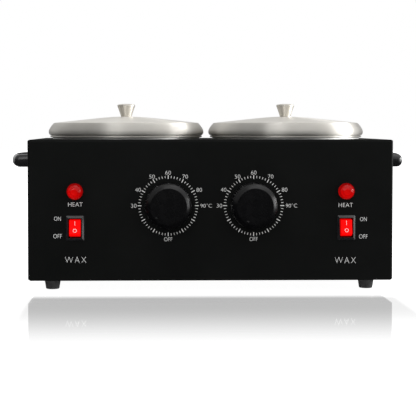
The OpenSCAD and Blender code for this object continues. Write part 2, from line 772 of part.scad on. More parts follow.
// A flat tie round the coil's bundle of turns, on the side away from the case
module cord_tie() {
    low_r = coil_rows_r[0] - cord_r;
    high_r = coil_rows_r[1] + cord_r;
    high = 2.8 * cord_d + 2 * tie_t;
    color([0.15, 0.15, 0.15]) translate([coil_x, coil_y, 0]) rotate(205) translate([0, -3, 0])
        difference() {
            translate([low_r - tie_t - 0.3, 0, 0]) cube([high_r - low_r + 2 * tie_t + 0.4, 6, high]);
            translate([low_r - 0.3, -1, tie_t]) cube([high_r - low_r + 0.4, 8, high - 2 * tie_t]);
        }
}

module plug_body() {
    color([0.04, 0.04, 0.04]) translate([plug_x, plug_y, plug_z]) rotate([0, -90, 0]) difference() {
        union() {
            cylinder(h = 22, r1 = 4.6, r2 = 6.2);
            translate([0, 0, 22]) cylinder(h = 7, r1 = 7.2, r2 = 8.6);
            translate([0, 0, 29]) cylinder(h = 7, r1 = 9, r2 = 11);
            translate([0, 0, 36]) linear_extrude(19) rounded_rect(2 * plug_z - 0.4, 26, 7);
        }
        translate([0, 0, -1]) cylinder(h = 14, r = cord_r + 0.1);
        for (y = [-1, 1]) translate([-4.2, y * 6.35, 50]) cube([6.4, 1.6, 12], center = true);
        translate([7.2, 0, 44]) cylinder(h = 12, r = 2.4);
    }
}

module plug_blades() {
    color([0.8, 0.78, 0.7]) translate([plug_x, plug_y, plug_z]) rotate([0, -90, 0])
        for (y = [-1, 1]) difference() {
            translate([-4.2 - 3.175, y * 6.35 - 0.76, 46]) cube([6.35, 1.52, 9 + 17.5]);
            translate([-4.2, y * 6.35, 55 + 13]) rotate([90, 0, 0]) cylinder(h = 4, r = 1.6, center = true);
        }
}

module plug_earth_pin() {
    color([0.8, 0.78, 0.7]) translate([plug_x, plug_y, plug_z]) rotate([0, -90, 0])
        translate([7.2, 0, 45]) {
            cylinder(h = 28, r = 2.38);
            translate([0, 0, 28]) cylinder(h = 2, r1 = 2.38, r2 = 1.4);
        }
}

case_shell();
base_plate();
case_screws();
feet();
foot_screws();
foot_nuts();
left_handle();
right_handle();
handle_screws();
left_well();
right_well();
left_heater_band();
right_heater_band();
left_insulation();
right_insulation();
left_thermostat();
right_thermostat();
thermostat_screws();
left_sensor_bulb();
right_sensor_bulb();
left_lamp_lens();
right_lamp_lens();
left_lamp_body();
right_lamp_body();
lamp_nuts();
left_switch_housing();
right_switch_housing();
switch_terminals();
terminal_block();
terminal_screws();
earth_screw();
left_wiring();
right_wiring();
strain_relief();
power_cord();
cord_coil();
cord_tail();
cord_tie();
plug_body();
plug_blades();
plug_earth_pin();
left_pot();
right_pot();
left_lid();
right_lid();
left_lid_knob();
right_lid_knob();
left_lid_screw();
right_lid_screw();
left_dial_knob();
right_dial_knob();
left_spindle();
right_spindle();
left_rocker();
right_rocker();
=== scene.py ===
import json
import math

import bmesh
import bpy
from mathutils import Matrix, Vector


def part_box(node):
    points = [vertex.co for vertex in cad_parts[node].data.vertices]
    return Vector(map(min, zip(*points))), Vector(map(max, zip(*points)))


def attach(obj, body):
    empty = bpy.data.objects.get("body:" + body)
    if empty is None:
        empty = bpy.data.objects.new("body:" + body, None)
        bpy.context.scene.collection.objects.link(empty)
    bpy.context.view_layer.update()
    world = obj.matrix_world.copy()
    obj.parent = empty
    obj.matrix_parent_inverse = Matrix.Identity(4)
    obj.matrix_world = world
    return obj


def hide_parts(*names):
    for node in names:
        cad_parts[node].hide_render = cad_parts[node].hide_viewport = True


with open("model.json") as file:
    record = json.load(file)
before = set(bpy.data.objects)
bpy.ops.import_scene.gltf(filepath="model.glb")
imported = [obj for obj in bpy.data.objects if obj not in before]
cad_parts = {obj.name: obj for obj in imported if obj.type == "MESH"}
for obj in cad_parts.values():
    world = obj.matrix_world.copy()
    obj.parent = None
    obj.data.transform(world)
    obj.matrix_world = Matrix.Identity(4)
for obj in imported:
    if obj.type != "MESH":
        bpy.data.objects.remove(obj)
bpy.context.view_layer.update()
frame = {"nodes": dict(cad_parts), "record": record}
scene = bpy.context.scene
SIDES = {"left": -1, "right": 1}
rad = math.radians

# Outlines and sizes of pieces are in millimetres, and become metres where a vertex or a place is made.
# Places from the frame, the camera, the lights and the materials are in metres.
mm = 0.001

# ---- where things are, from the frame ----

case_lo, case_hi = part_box("case_shell")
front_y, rear_y, half_w = case_lo.y, case_hi.y, case_hi.x


def middle(node):
    lo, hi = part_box(node)
    return (lo + hi) / 2


# ---- camera ----

SENSOR = 36.0
FOCAL_RATIO = 1191.0 / 416.0  # focal length over the frame's width
YAW, PITCH = rad(1.4), rad(2.03)  # to the right, and down

camera_data = bpy.data.cameras.new("camera")
camera = bpy.data.objects.new("camera", camera_data)
scene.collection.objects.link(camera)
scene.camera = camera
camera_data.sensor_width = SENSOR
camera_data.lens = SENSOR * FOCAL_RATIO
camera_data.clip_start, camera_data.clip_end = 0.05, 60.0
camera_data.shift_x, camera_data.shift_y = 0.0716, -0.0942
camera.location = (-0.052, -1.077, 0.1387)
camera.rotation_euler = (math.pi / 2 - PITCH, 0.0, -YAW)

# ---- mesh helpers ----

ON_AXIS = 1e-4  # a smaller radius is the axis itself
NEARLY_STRAIGHT = 89.5  # half a corner's angle, in degrees, past which it isn't rounded
LIP_STEPS = 2


def link(obj):
    scene.collection.objects.link(obj)
    return obj


def finish_mesh(name, bm, place, sharp=35.0):
    """The object of a finished mesh: smooth, apart from edges that turn by more than the sharp angle."""
    bmesh.ops.recalc_face_normals(bm, faces=bm.faces)
    mesh = bpy.data.meshes.new(name)
    bm.to_mesh(mesh)
    bm.free()
    for face in mesh.polygons:
        face.use_smooth = True
    mesh.set_sharp_from_angle(angle=rad(sharp))
    obj = link(bpy.data.objects.new(name, mesh))
    obj.matrix_world = place
    return obj


def add_ring(bm, points):
    """New vertices at points (x, y, z)."""
    return [bm.verts.new((x * mm, y * mm, z * mm)) for x, y, z in points]


def skin(bm, rings, closed=False):
    """Faces from each ring to the next, and from the last to the first if closed. One point is a pole."""
    for a, b in zip(rings, rings[1:] + (rings[:1] if closed else [])):
        count = max(len(a), len(b))
        for k in range(count):
            n = (k + 1) % count
            if len(a) == 1:
                bm.faces.new((a[0], b[k], b[n]))
            elif len(b) == 1:
                bm.faces.new((a[k], a[n], b[0]))
            else:
                bm.faces.new((a[k], a[n], b[n], b[k]))


def cap(bm, low, high):
    """The end faces of a stack of rings."""
    bm.faces.new(low[::-1])
    bm.faces.new(high)


def arc(cx, cy, r, a0, a1, n):
    """Points on an arc from one angle in degrees to another, in n steps."""
    angles = [rad(a0 + (a1 - a0) * i / n) for i in range(n + 1)]
    return [(cx + r * math.cos(a), cy + r * math.sin(a)) for a in angles]


def circle(r, n, cy=0.0):
    angles = [2 * math.pi * k / n for k in range(n)]
    return [(r * math.cos(a), cy + r * math.sin(a)) for a in angles]


def fillet(points, n=4, closed=False):
    """Points (x, y) or (x, y, radius): each corner that has a radius becomes an arc."""
    out = []
    count = len(points)
    for i, p in enumerate(points):
        r = p[2] if len(p) > 2 else 0.0
        if r <= 0 or (not closed and i in (0, count - 1)):
            out.append((p[0], p[1]))
            continue
        c = Vector(p[:2])
        a = Vector(points[i - 1][:2]) - c
        b = Vector(points[(i + 1) % count][:2]) - c
        la, lb = a.length, b.length
        a.normalize()
        b.normalize()
        half = a.angle(b) / 2
        if half > rad(NEARLY_STRAIGHT):
            out.append((p[0], p[1]))
            continue
        reach = min(r / math.tan(half), 0.48 * la, 0.48 * lb)
        r = reach * math.tan(half)
        centre = c + (a + b).normalized() * (r / math.sin(half))
        start, end = c + a * reach - centre, c + b * reach - centre
        sweep = start.angle_signed(end)
        for k in range(n + 1):
            t = -sweep * k / n
            x = start.x * math.cos(t) - start.y * math.sin(t)
            y = start.x * math.sin(t) + start.y * math.cos(t)
            out.append((centre.x + x, centre.y + y))
    return out


def miters(points, least):
    """At each corner of a closed anticlockwise outline, the move inward that takes its walls in by one.

    The long move of a very sharp corner is held back by least, from 0, not at all, to 2.
    """
    out = []
    count = len(points)
    for i in range(count):
        a, b, c = Vector(points[i - 1][:2]), Vector(points[i][:2]), Vector(points[(i + 1) % count][:2])
        d1, d2 = (b - a).normalized(), (c - b).normalized()
        n1, n2 = Vector((-d1.y, d1.x)), Vector((-d2.y, d2.x))
        m = n1 + n2
        out.append(m / max(m.dot(n1), least))
    return out


def lathe(name, outline, place, steps=96, closed=False, sharp=35.0):
    """A solid of revolution about its own Z. The outline's points are (radius, height)."""
    bm = bmesh.new()
    rings = []
    for r, z in outline:
        around = circle(r, steps) if r > ON_AXIS else [(0.0, 0.0)]
        rings.append(add_ring(bm, [(x, y, z) for x, y in around]))
    skin(bm, rings, closed)
    return finish_mesh(name, bm, place, sharp)


def loft(name, sections, place, sharp=35.0):
    """Closed rings of equal counts at rising heights: (height, ring of (x, y))."""
    bm = bmesh.new()
    rings = [add_ring(bm, [(x, y, z) for x, y in ring]) for z, ring in sections]
    skin(bm, rings)
    cap(bm, rings[0], rings[-1])
    return finish_mesh(name, bm, place, sharp)


def prism(name, outline, thick, place, lip=0.0, hole=None):
    """A flat solid on a closed anticlockwise outline in its own XY plane, with or without a hole.

    With a lip, a rim of that height stands round each face, and the side walls are set in by as much and
    cross the faces.
    """
    bm = bmesh.new()
    levels = [(0.0, 0.0)]
    if lip > 0:
        quarter = [rad(90.0 * k / LIP_STEPS) for k in range(LIP_STEPS + 1)]
        levels = [(lip * (1 - math.sin(t)), lip * (1 - math.cos(t))) for t in quarter]
    levels += [(thick - z, inset) for z, inset in reversed(levels)]

    def walls(points, sign):
        moves = miters(points, 0.2)
        rings = []
        for z, inset in levels:
            corners = [Vector(p) + m * sign * inset for p, m in zip(points, moves)]
            rings.append(add_ring(bm, [(p.x, p.y, z) for p in corners]))
        skin(bm, rings)
        return rings[0], rings[-1]

    low, high = walls(outline, 1.0)
    if hole is None:
        cap(bm, low, high)
    else:
        hole_low, hole_high = walls(hole, -1.0)
        for pair in ((low, hole_low), (high, hole_high)):
            edges = [bm.edges.get((ring[i - 1], ring[i])) for ring in pair for i in range(len(ring))]
            bmesh.ops.triangle_fill(bm, use_beauty=True, use_dissolve=False, edges=edges)
    return finish_mesh(name, bm, place)


def rounded_rect(w, h, r):
    x, y = w / 2, h / 2
    return fillet([(-x, -y, r), (x, -y, r), (x, y, r), (-x, y, r)], n=5, closed=True)


def superellipse(w, h, power, n=48):
    out = []
    for k in range(n):
        t = 2 * math.pi * k / n
        c, s = math.cos(t), math.sin(t)
        x = math.copysign(abs(c) ** (2 / power), c) * w / 2
        y = math.copysign(abs(s) ** (2 / power), s) * h / 2
        out.append((x, y))
    return out


def frame_matrix(x_axis, y_axis, z_axis, at):
    m = Matrix((x_axis, y_axis, z_axis)).transposed().to_4x4()
    m.translation = Vector(at)
    return m


def on_front(x, z):
    """Its own Z points out of the front wall, and its Y points up."""
    return frame_matrix((1, 0, 0), (0, 0, 1), (0, -1, 0), (x, front_y, z))


def upright(x, y, z):
    return Matrix.Translation((x, y, z))


def shift(x, y, z):
    return Matrix.Translation((x * mm, y * mm, z * mm))


def turn(axis, angle):
    return Matrix.Rotation(rad(angle), 4, axis)


def show(obj, body, slot_name, *replaced):
    """The piece rides on its body, takes its slot's material and stands for its CAD nodes."""
    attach(obj, body)
    if replaced:
        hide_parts(*replaced)
    obj.data.materials.clear()
    obj.data.materials.append(finish_of(slot_name))
    return obj


# ---- materials ----


class Nodes:
    """A node tree, with short calls for the nodes used here."""

    def __init__(self, tree):
        self.tree = tree

    def wire(self, a, b):
        self.tree.links.new(a, b)

    def node(self, kind, **props):
        made = self.tree.nodes.new("ShaderNode" + kind)
        for key, value in props.items():
            setattr(made, key, value)
        return made

    def split(self, vector):
        made = self.node("SeparateXYZ")
        self.wire(vector, made.inputs[0])
        return made.outputs

    def range(self, value, low, high, to_low, to_high, kind="LINEAR"):
        made = self.node("MapRange", interpolation_type=kind)
        self.wire(value, made.inputs["Value"])
        for key, number in (("From Min", low), ("From Max", high), ("To Min", to_low), ("To Max", to_high)):
            made.inputs[key].default_value = number
        return made.outputs["Result"]

    def soft(self, value, low, high, to_low, to_high):
        return self.range(value, low, high, to_low, to_high, "SMOOTHSTEP")

    def math(self, operation, a, b=None):
        made = self.node("Math", operation=operation)
        for socket, value in zip(made.inputs, (a, b)):
            if isinstance(value, (int, float)):
                socket.default_value = value
            elif value is not None:
                self.wire(value, socket)
        return made.outputs[0]

    def times(self, *values):
        product = values[0]
        for value in values[1:]:
            product = self.math("MULTIPLY", product, value)
        return product

    def plus(self, a, b):
        return self.math("ADD", a, b)

    def ramp(self, value, stops):
        made = self.node("ValToRGB")
        self.wire(value, made.inputs["Fac"])
        ramp = made.color_ramp
        while len(ramp.elements) < len(stops):
            ramp.elements.new(0.5)
        for element, (place, color) in zip(ramp.elements, stops):
            element.position = place
            element.color = tuple(color) + (1.0,)
        return made.outputs["Color"]


class Shader(Nodes):
    """A material's nodes."""

    def __init__(self, name):
        self.material = bpy.data.materials.new(name)
        self.material.use_nodes = True
        super().__init__(self.material.node_tree)
        self.bsdf = self.tree.nodes["Principled BSDF"]
        self.place = self.node("TexCoord").outputs["Object"]

    def set(self, **values):
        for key, value in values.items():
            self.bsdf.inputs[key.replace("_", " ")].default_value = value

    def drive(self, key, value):
        self.wire(value, self.bsdf.inputs[key])

    def stretched(self, x, y, z):
        made = self.node("Mapping")
        made.inputs["Scale"].default_value = (x, y, z)
        self.wire(self.place, made.inputs["Vector"])
        return made.outputs["Vector"]

    def noise(self, scale, detail=2.0, rough=0.5, vector=None):
        made = self.node("TexNoise")
        for key, number in (("Scale", scale), ("Detail", detail), ("Roughness", rough)):
            made.inputs[key].default_value = number
        self.wire(vector or self.place, made.inputs["Vector"])
        return made.outputs["Fac"]

    def mix(self, factor, a, b):
        made = self.node("Mix", data_type="RGBA")
        self.wire(factor, made.inputs["Factor"])
        for key, color in ((6, a), (7, b)):
            made.inputs[key].default_value = color + (1.0,)
        return made.outputs[2]

    def bump(self, *layers):
        """Layers are (height, strength, distance in metres)."""
        last = None
        for height, strength, distance in layers:
            made = self.node("Bump")
            made.inputs["Strength"].default_value = strength
            made.inputs["Distance"].default_value = distance
            self.wire(height, made.inputs["Height"])
            if last is not None:
                self.wire(last, made.inputs["Normal"])
            last = made.outputs["Normal"]
        self.drive("Normal", last)

    def radius(self):
        """Distance from the piece's own Z axis, and the height along it."""
        x, y, z = self.split(self.place)
        return self.math("SQRT", self.plus(self.times(x, x), self.times(y, y))), z

    def rings(self, scale, detail=3.0):
        """Fine lines round the piece's own axis."""
        r, z = self.radius()
        made = self.node("TexNoise", noise_dimensions="1D")
        self.wire(self.plus(r, self.times(z, 1.7)), made.inputs["W"])
        for key, number in (("Scale", scale), ("Detail", detail), ("Roughness", 0.65)):
            made.inputs[key].default_value = number
        return made.outputs["Fac"]


LID_RIM = (0.0645, 0.0660)  # radii between which a lid's crease lies


def spun_metal(name, light, dark, rough, lines, aniso, tangent=True, rimmed=False, relief=0.05, metallic=1.0):
    """Metal turned on its own axis, with fine lines round it and a cloudy tone."""
    s = Shader(name)
    s.set(Metallic=metallic, Anisotropic=aniso)
    fine = s.rings(lines)
    coarse = s.rings(lines * 0.14, 2.0)
    cloud = s.noise(38.0, 3.0, 0.55)
    tone = s.plus(s.range(cloud, 0.35, 0.7, 0.0, 0.7), s.range(fine, 0.3, 0.7, 0.0, 0.3))
    s.drive("Base Color", s.mix(tone, light, dark))
    base = s.range(fine, 0.3, 0.7, rough - 0.03, rough + 0.04)
    base = s.plus(base, s.range(cloud, 0.35, 0.75, -0.02, 0.03))
    if rimmed:
        # On a lid's skirt and a pot's rim the turning marks are coarser, and the shine spreads further across
        rim = s.range(s.radius()[0], *LID_RIM, 0.0, 1.0)
        base = s.plus(base, s.times(rim, 0.18))
        s.drive("Anisotropic", s.range(rim, 0.0, 1.0, aniso, 1.0))
    if tangent:
        s.drive("Tangent", s.node("Tangent", direction_type="RADIAL", axis="Z").outputs[0])
        s.set(Anisotropic_Rotation=0.25)
    s.drive("Roughness", base)
    s.bump((fine, relief, 0.00004), (coarse, relief * 0.6, 0.0002))
    return s


def plain(name, low, high, rough, noise, bump, stretch=None, **values):
    """A base colour and roughness that vary over a noise, with a fine bump (scale, strength, distance)."""
    s = Shader(name)
    s.set(**values)
    where = s.stretched(*stretch) if stretch else None
    cloud = s.noise(noise, 4.0, 0.6, where)
    s.drive("Base Color", s.mix(s.range(cloud, 0.3, 0.72, 0.0, 1.0), low, high))
    s.drive("Roughness", s.range(cloud, 0.3, 0.72, *rough))
    s.bump((s.noise(bump[0], 2.0, 0.6, where), bump[1], bump[2]))
    return s


def case_paint(name):
    """Black powder coat with its orange peel, on which fine dust settles where it looks up."""
    s = Shader(name)
    s.set(Specular_IOR_Level=0.09)
    peel = s.noise(900.0, 2.0, 0.6)
    fine = s.noise(3200.0, 2.0, 0.5)
    cloud = s.noise(22.0, 4.0, 0.6)
    tone = s.range(cloud, 0.3, 0.75, 0.0, 1.0)
    s.drive("Base Color", s.mix(tone, (0.0024, 0.0028, 0.0026), (0.0038, 0.0042, 0.0040)))
    up = s.split(s.node("NewGeometry").outputs["Normal"])[2]
    dust = s.range(up, 0.3, 0.85, 0.0, 0.3)
    s.drive("Roughness", s.plus(s.range(cloud, 0.3, 0.75, 0.55, 0.64), dust))
    s.bump((peel, 0.14, 0.00010), (fine, 0.07, 0.00004))
    return s


def zinc_sheet(name):
    """Galvanised sheet with its spangle."""
    s = Shader(name)
    s.set(Metallic=1.0)
    spangle = s.node("TexVoronoi")
    spangle.inputs["Scale"].default_value = 260.0
    s.wire(s.place, spangle.inputs["Vector"])
    s.drive("Base Color", s.mix(spangle.outputs["Distance"], (0.50, 0.52, 0.53), (0.66, 0.67, 0.66)))
    s.drive("Roughness", s.range(s.noise(60.0, 3.0), 0.3, 0.7, 0.34, 0.5))
    s.bump((s.noise(700.0, 2.0), 0.06, 0.00008))
    return s


LENS_GLOW = [
    (0.0, (1.0, 0.006, 0.004)), (0.40, (0.95, 0.004, 0.003)), (0.5, (0.6, 0.002, 0.002)),
    (0.72, (0.8, 0.002, 0.002)), (0.82, (0.36, 0.001, 0.001)), (1.0, (0.5, 0.001, 0.001)),
]
LENS_R = 0.007  # in metres, as a material sees it


def red_lens(name):
    """A red lens that glows in rings, more on its lower left."""
    s = plain(name, low=(0.34, 0.0012, 0.0012), high=(0.26, 0.001, 0.001), rough=(0.10, 0.16), noise=300.0,
              bump=(1400.0, 0.03, 0.00002), Specular_IOR_Level=0.04, Coat_Weight=0.4, Coat_Roughness=0.02)
    x, y, _ = s.split(s.place)
    s.drive("Emission Strength", s.range(s.plus(x, y), -LENS_R, 0.006, 0.5, 0.1))
    s.drive("Emission Color", s.ramp(s.range(s.radius()[0], 0.0, LENS_R, 0.0, 1.0), LENS_GLOW))
    return s


def rocker_red(name):
    """A lit red rocker."""
    s = plain(name, low=(0.60, 0.0006, 0.0005), high=(0.54, 0.0006, 0.0005), rough=(0.42, 0.52), noise=220.0,
              bump=(1600.0, 0.03, 0.00002), Specular_IOR_Level=0.06, Emission_Strength=0.6)
    s.drive("Emission Color", s.mix(s.noise(160.0, 2.0), (1.0, 0.0004, 0.0002), (0.86, 0.0003, 0.0002)))
    return s


# Colours from and to, roughness from and to, the noise's scale, and the bump
PLAIN = {
    "black_screw": dict(low=(0.018, 0.018, 0.02), high=(0.05, 0.05, 0.05), rough=(0.3, 0.45), noise=900.0,
                        bump=(3000.0, 0.1, 0.00003), Metallic=0.6),
    "steel_screw": dict(low=(0.62, 0.63, 0.64), high=(0.74, 0.74, 0.72), rough=(0.22, 0.36), noise=700.0,
                        bump=(2600.0, 0.08, 0.00003), Metallic=1.0),
    "foot_rubber": dict(low=(0.022, 0.022, 0.023), high=(0.05, 0.05, 0.05), rough=(0.24, 0.4), noise=260.0,
                        bump=(1800.0, 0.2, 0.00008)),
    "handle_plastic": dict(low=(0.006, 0.006, 0.007), high=(0.011, 0.011, 0.012), rough=(0.2, 0.32),
                           noise=45.0, bump=(1100.0, 0.07, 0.00007), stretch=(1.0, 0.35, 1.0),
                           Coat_Weight=0.15, Coat_Roughness=0.2),
    "heater_mica": dict(low=(0.66, 0.56, 0.36), high=(0.80, 0.72, 0.52), rough=(0.3, 0.55), noise=90.0,
                        bump=(500.0, 0.2, 0.0001), stretch=(1.0, 1.0, 4.0)),
    "glass_wool": dict(low=(0.86, 0.82, 0.70), high=(0.96, 0.94, 0.88), rough=(0.8, 0.95), noise=240.0,
                       bump=(900.0, 0.8, 0.0006), stretch=(1.0, 1.0, 5.0)),
    "phenolic": dict(low=(0.44, 0.36, 0.24), high=(0.56, 0.47, 0.33), rough=(0.35, 0.5), noise=260.0,
                     bump=(1400.0, 0.1, 0.00006)),
    "copper": dict(low=(0.78, 0.42, 0.26), high=(0.66, 0.36, 0.24), rough=(0.2, 0.38), noise=240.0,
                   bump=(1400.0, 0.06, 0.00004), Metallic=1.0),
    "dial_plastic": dict(low=(0.0014, 0.0014, 0.0017), high=(0.0024, 0.0024, 0.0028), rough=(0.24, 0.30),
                         noise=120.0, bump=(260.0, 0.02, 0.00003), Specular_IOR_Level=0.34),
    "brass_parts": dict(low=(0.80, 0.66, 0.36), high=(0.70, 0.56, 0.30), rough=(0.18, 0.34), noise=400.0,
                        bump=(1800.0, 0.06, 0.00003), Metallic=1.0),
    "nylon": dict(low=(0.80, 0.79, 0.72), high=(0.88, 0.87, 0.82), rough=(0.4, 0.55), noise=120.0,
                  bump=(900.0, 0.08, 0.00006), Subsurface_Weight=0.1),
    "switch_black": dict(low=(0.008, 0.008, 0.009), high=(0.014, 0.014, 0.015), rough=(0.16, 0.24),
                         noise=300.0, bump=(2400.0, 0.14, 0.00004)),
    "wire_red": dict(low=(0.52, 0.02, 0.015), high=(0.64, 0.03, 0.02), rough=(0.35, 0.5), noise=300.0,
                     bump=(1400.0, 0.08, 0.00004)),
    "cord_pvc": dict(low=(0.012, 0.012, 0.013), high=(0.022, 0.022, 0.023), rough=(0.42, 0.56), noise=90.0,
                     bump=(1500.0, 0.12, 0.00006), Specular_IOR_Level=0.45),
    "panel_print": dict(low=(0.72, 0.72, 0.71), high=(0.80, 0.80, 0.79), rough=(0.5, 0.6), noise=900.0,
                        bump=(2600.0, 0.1, 0.00003)),
}
# Colours, roughness, how fine the turned lines are, and how much the shine is drawn out across them
SPUN = {
    "spun_aluminium": dict(light=(0.86, 0.835, 0.785), dark=(0.79, 0.765, 0.71), rough=0.36, lines=2600.0,
                           aniso=0.85, rimmed=True, metallic=0.9),
    "well_aluminium": dict(light=(0.62, 0.62, 0.61), dark=(0.52, 0.52, 0.50), rough=0.4, lines=1500.0,
                           aniso=0.2, tangent=False),
    "turned_aluminium": dict(light=(0.74, 0.71, 0.65), dark=(0.66, 0.63, 0.57), rough=0.44, lines=5200.0,
                             aniso=0.6, relief=0.03),
}
OTHERS = {"case_paint": case_paint, "zinc_sheet": zinc_sheet, "red_lens": red_lens, "rocker_red": rocker_red}
made_finishes = {}


def finish_of(slot_name):
    if slot_name not in made_finishes:
        if slot_name in PLAIN:
            made = plain(slot_name, **PLAIN[slot_name])
        elif slot_name in SPUN:
            made = spun_metal(slot_name, **SPUN[slot_name])
        else:
            made = OTHERS[slot_name](slot_name)
        made_finishes[slot_name] = made.material
    return made_finishes[slot_name]


# ---- power cord ----

CORD_R = 3.5
EXIT_X, EXIT_Z = 90.0, 28.0
COIL_X, COIL_Y = 20.0, 160.0
STEP_FROM = 0.72  # the part of a turn after which it steps to the next one
# From inside the strain relief to the coil
LEAD = [
    (90, 93, 28), (90, 100, 28), (90, 112, 28), (90, 124, 28), (90, 136, 26), (89.5, 147, 21.5),
    (88, 157, 15.5), (85, 167, 9.5), (80, 177, 5.5), (72, 186, 4.1), (61.5, 193.5, 4.1), (50, 199, 4.1),
    (40, 201.5, 4.1), (30, 202.2, 4.1),
]
# Each turn's radius and height
TURNS = [(42, 4.1), (35, 4.1), (35, 11.1), (42, 11.1), (38.5, 17.2)]
# From the coil into the plug
TAIL = [
    (10, 198.5, 17.2), (0, 199, 17.1), (-10, 199.5, 16.6), (-20, 200, 15.6), (-30, 200, 14.2),
    (-38, 200, 12.8), (-48, 200, 12.2), (-56, 200, 12.2),
]


def coil_points(per_turn=40):
    """The stored turns: each runs at one radius and height, and steps to the next over its last part."""
    out = []
    for i, (r, z) in enumerate(TURNS):
        next_r, next_z = TURNS[min(i + 1, len(TURNS) - 1)]
        for k in range(per_turn):
            done = k / per_turn
            t = max(0.0, (done - STEP_FROM) / (1 - STEP_FROM))
            t = t * t * (3 - 2 * t)
            a = rad(90 + 360 * done)
            at_r = r + (next_r - r) * t
            out.append((COIL_X + at_r * math.cos(a), COIL_Y + at_r * math.sin(a), z + (next_z - z) * t))
    r, z = TURNS[-1]
    out.append((COIL_X, COIL_Y + r, z))
    return out


def smooth_path(points, step=2.5):
    """A Catmull-Rom line through the points, cut into short straight steps."""
    p = [Vector(q) for q in points]
    p = [2 * p[0] - p[1]] + p + [2 * p[-1] - p[-2]]
    out = []
    for i in range(1, len(p) - 2):
        a, b, c, d = p[i - 1 : i + 3]
        square = 2 * a - 5 * b + 4 * c - d
        cube = 3 * b - a - 3 * c + d
        n = max(1, round((c - b).length / step))
        for k in range(n):
            t = k / n
            out.append(0.5 * (2 * b + (c - a) * t + square * t * t + cube * t ** 3))
    out.append(p[-2])
    return out


route = smooth_path(LEAD + coil_points() + TAIL)
cord_curve = bpy.data.curves.new("mains_cord", "CURVE")
cord_curve.dimensions = "3D"
cord_curve.bevel_depth = 1.0  # each point's own radius sets the thickness, and the curve's box with it
cord_curve.bevel_resolution = 5
cord_curve.use_fill_caps = True
spline = cord_curve.splines.new("POLY")
spline.points.add(len(route) - 1)
for point, q in zip(spline.points, route):
    point.co = (q.x * mm, q.y * mm, q.z * mm, 1.0)
    point.radius = CORD_R * mm
spline.use_smooth = True
cord = link(bpy.data.objects.new("mains_cord", cord_curve))
show(cord, "case", "cord_pvc", "power_cord", "cord_coil", "cord_tail")

# Strain relief: a flange on the wall and a ribbed taper
RIBS, RIB_PITCH, FIRST_RIB, RIB_DEPTH = 8, 3.1, 3.4, 0.75
RIB_R, RIB_TAPER = 6.3, 0.17
relief_outline = [
    (3.6, 28.2), (3.6, -5.0), (7.6, -5.0), (8.0, -1.1), (6.2, -1.1), (6.2, 0.0), (8.9, 0.0), (9.2, 0.3),
    (9.2, 1.5), (8.6, 2.2), (6.9, 2.6),
]
for i in range(RIBS):
    z = FIRST_RIB + i * RIB_PITCH
    r = RIB_R - RIB_TAPER * i
    core = r - RIB_DEPTH
    relief_outline += [(core, z - 0.5), (core, z), (r, z + 0.35), (r, z + 1.75), (core, z + 2.1)]
relief_outline += [(4.7, 28.2), (4.5, 29.4), (3.9, 30.0), (3.6, 30.0)]
cord_exit = (EXIT_X * mm, rear_y, EXIT_Z * mm)
relief_place = frame_matrix((-1, 0, 0), (0, 0, 1), (0, 1, 0), cord_exit)
relief = lathe("cord_strain_relief", relief_outline, relief_place, 48, closed=True)
show(relief, "case", "cord_pvc", "strain_relief")

# Tie round the coil: a flat band bent round the bundle's section, a little thicker along its middle
TIE_BEARING = 205
BAND_HALF, BAND_MIDDLE = 2.6, 1.2
BAND_IN, BAND_OUT, BAND_RIDGE = -0.05, 0.55, 0.12
bundle = fillet([(31.2, 0.3, 1.5), (45.8, 0.3, 1.5), (45.8, 14.6, 3.0), (42.6, 20.5, 3.0), (34.4, 20.5, 3.0),
                 (31.2, 14.6, 3.0)], n=6, closed=True)
bm = bmesh.new()
sections = []
for i, middle_point in enumerate(bundle):
    d = (Vector(bundle[(i + 1) % len(bundle)]) - Vector(bundle[i - 1])).normalized()
    n_out = Vector((d.y, -d.x))
    inner, outer = Vector(middle_point) + n_out * BAND_IN, Vector(middle_point) + n_out * BAND_OUT
    ridge = outer + n_out * BAND_RIDGE
    around = ((inner, -BAND_HALF), (outer, -BAND_HALF), (ridge, -BAND_MIDDLE), (ridge, BAND_MIDDLE),
              (outer, BAND_HALF), (inner, BAND_HALF))
    sections.append(add_ring(bm, [(q.x, v, max(q.y, 0.12)) for q, v in around]))
skin(bm, sections, closed=True)
tie = finish_mesh("cord_tie_band", bm, shift(COIL_X, COIL_Y, 0) @ turn("Z", TIE_BEARING))
show(tie, "case", "cord_pvc", "cord_tie")

# Plug: a ribbed grip, a step and a rounded head, with two blades and a round earth pin
plug_place = frame_matrix((0, 0, 1), (0, 1, 0), (-1, 0, 0), (-48.0 * mm, 200.0 * mm, 12.2 * mm))
GRIP_RIBS, GRIP_PITCH, GRIP_FROM = 6, 3.2, 2.0
GRIP_W, GRIP_WIDENS = 9.4, 0.5
# Height, width, depth and squareness of each section
plug_sizes = [(0.0, 8.2, 8.2, 2), (0.8, 9.2, 9.2, 2)]
for i in range(GRIP_RIBS):
    z = GRIP_FROM + i * GRIP_PITCH
    w = GRIP_W + i * GRIP_WIDENS
    plug_sizes += [(z, w, w, 2), (z + 0.25, w + 1.2, w + 1.2, 2), (z + 1.6, w + 1.3, w + 1.3, 2),
                   (z + 1.85, w, w, 2)]
plug_sizes += [
    (22.0, 12.8, 12.8, 2), (23.5, 14.6, 15.0, 2.1), (27.0, 16.6, 17.6, 2.2), (31.0, 19.0, 20.5, 2.4),
    (34.5, 21.4, 23.4, 2.7), (36.4, 22.8, 25.0, 3.0), (38.0, 23.7, 25.8, 3.2), (40.0, 24.0, 26.0, 3.3),
    (51.5, 24.0, 26.0, 3.3), (53.6, 23.4, 25.4, 3.3), (54.6, 22.2, 24.2, 3.3), (55.0, 20.6, 22.6, 3.3),
]
plug_sections = [(z, superellipse(w, h, power)) for z, w, h, power in plug_sizes]
plug = loft("plug_moulding", plug_sections, plug_place, 40)
show(plug, "case", "cord_pvc", "plug_body")

